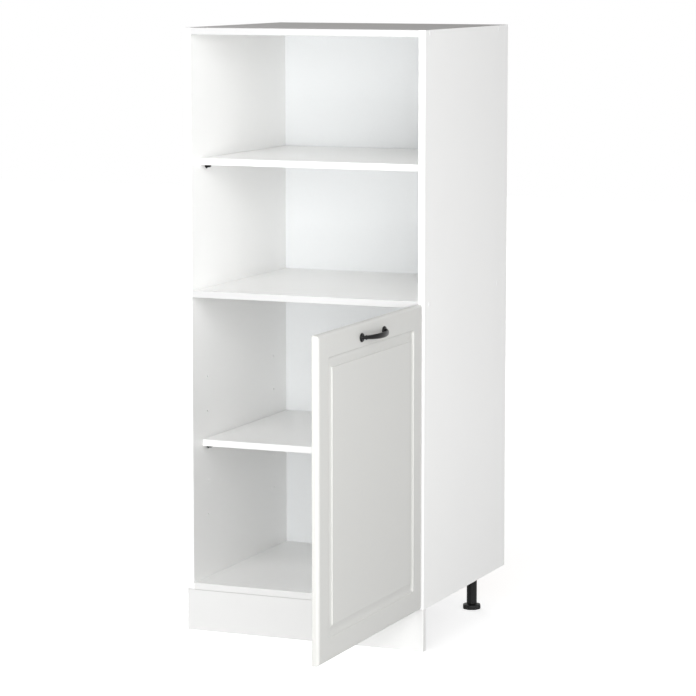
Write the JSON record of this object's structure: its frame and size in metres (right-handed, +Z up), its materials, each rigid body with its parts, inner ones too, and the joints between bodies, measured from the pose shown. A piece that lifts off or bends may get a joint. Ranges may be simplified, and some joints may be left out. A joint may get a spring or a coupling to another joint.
{
  "type": "oven housing cabinet",
  "caption": "Tall white kitchen cabinet with an open oven niche above, a shelved compartment behind a framed side-hung door, a plinth board and levelling legs.",
  "frame": {"origin": "middle of the plinth board's lower edge, on the floor, half way across the cabinet's width", "axes": "+X to the cabinet's right as seen from the front, +Y to its back, +Z up"},
  "size_m": [0.6282, 1.1515, 1.425],
  "materials": {
    "white_board": "white melamine-faced chipboard, satin",
    "back_board": "white lacquered thin fibreboard, matt",
    "door_foil": "off-white foil over routed fibreboard, satin",
    "black_plastic": "moulded black plastic, semi-matt",
    "white_plastic": "moulded white plastic, satin",
    "black_metal": "black powder-coated die-cast metal, satin",
    "zinc_steel": "zinc-plated steel",
    "nickel_steel": "nickel-plated pressed steel"
  },
  "bodies": {
    "carcass": {"side_panel_left": "white_board", "side_panel_right": "white_board", "top_panel": "white_board", "fixed_shelf": "white_board", "bottom_panel": "white_board", "back_panel": "back_board", "plinth_board": "white_board", "shelf_support_upper_left_front": "black_plastic", "shelf_support_upper_right_front": "black_plastic", "shelf_support_upper_left_rear": "black_plastic", "shelf_support_upper_right_rear": "black_plastic", "shelf_support_lower_left_front": "black_plastic", "shelf_support_lower_right_front": "black_plastic", "shelf_support_lower_left_rear": "black_plastic", "shelf_support_lower_right_rear": "black_plastic", "carcass_screw_top_left_front": "zinc_steel", "carcass_screw_top_right_front": "zinc_steel", "carcass_screw_top_left_rear": "zinc_steel", "carcass_screw_top_right_rear": "zinc_steel", "carcass_screw_shelf_left_front": "zinc_steel", "carcass_screw_shelf_right_front": "zinc_steel", "carcass_screw_shelf_left_rear": "zinc_steel", "carcass_screw_shelf_right_rear": "zinc_steel", "cover_cap_top_left_front": "white_plastic", "cover_cap_top_right_front": "white_plastic", "cover_cap_top_left_rear": "white_plastic", "cover_cap_top_right_rear": "white_plastic", "cover_cap_shelf_left_front": "white_plastic", "cover_cap_shelf_right_front": "white_plastic", "cover_cap_shelf_left_rear": "white_plastic", "cover_cap_shelf_right_rear": "white_plastic", "leg_socket_left_front": "black_plastic", "leg_socket_right_front": "black_plastic", "leg_socket_left_rear": "black_plastic", "leg_socket_right_rear": "black_plastic", "leg_column_left_front": "black_plastic", "leg_column_right_front": "black_plastic", "leg_column_left_rear": "black_plastic", "leg_column_right_rear": "black_plastic", "plinth_clip_left": "black_plastic", "plinth_clip_right": "black_plastic", "hinge_arm_lower": "nickel_steel", "hinge_arm_upper": "nickel_steel", "hinge_plate_lower": "nickel_steel", "hinge_plate_upper": "nickel_steel"},
    "door": {"door_panel": "door_foil", "handle": "black_metal", "handle_screw_free": "zinc_steel", "handle_screw_hinge": "zinc_steel", "hinge_cup_lower": "nickel_steel", "hinge_cup_upper": "nickel_steel", "hinge_pin_lower": "zinc_steel", "hinge_pin_upper": "zinc_steel"},
    "shelf_upper": {"upper_shelf": "white_board"},
    "shelf_lower": {"lower_shelf": "white_board"},
    "foot_left_front": {"leg_foot_left_front": "black_plastic"},
    "foot_right_front": {"leg_foot_right_front": "black_plastic"},
    "foot_left_rear": {"leg_foot_left_rear": "black_plastic"},
    "foot_right_rear": {"leg_foot_right_rear": "black_plastic"}
  },
  "joints": [
    {"name": "door_hinge", "type": "hinge", "parent": "carcass", "child": "door", "pos_m": [0.2915, -0.02, 0], "axis": [0, 0, 1], "range_deg": [-90, 5]},
    {"name": "upper_shelf_lift", "type": "slide", "parent": "carcass", "child": "shelf_upper", "axis": [0, 0, 1], "range_m": [0, 0.03]},
    {"name": "lower_shelf_lift", "type": "slide", "parent": "carcass", "child": "shelf_lower", "axis": [0, 0, 1], "range_m": [0, 0.03]},
    {"name": "foot_left_front_screw", "type": "slide", "parent": "carcass", "child": "foot_left_front", "axis": [0, 0, -1], "range_m": [0, 0.02]},
    {"name": "foot_right_front_screw", "type": "slide", "parent": "carcass", "child": "foot_right_front", "axis": [0, 0, -1], "range_m": [0, 0.02]},
    {"name": "foot_left_rear_screw", "type": "slide", "parent": "carcass", "child": "foot_left_rear", "axis": [0, 0, -1], "range_m": [0, 0.02]},
    {"name": "foot_right_rear_screw", "type": "slide", "parent": "carcass", "child": "foot_right_rear", "axis": [0, 0, -1], "range_m": [0, 0.02]}
  ]
}
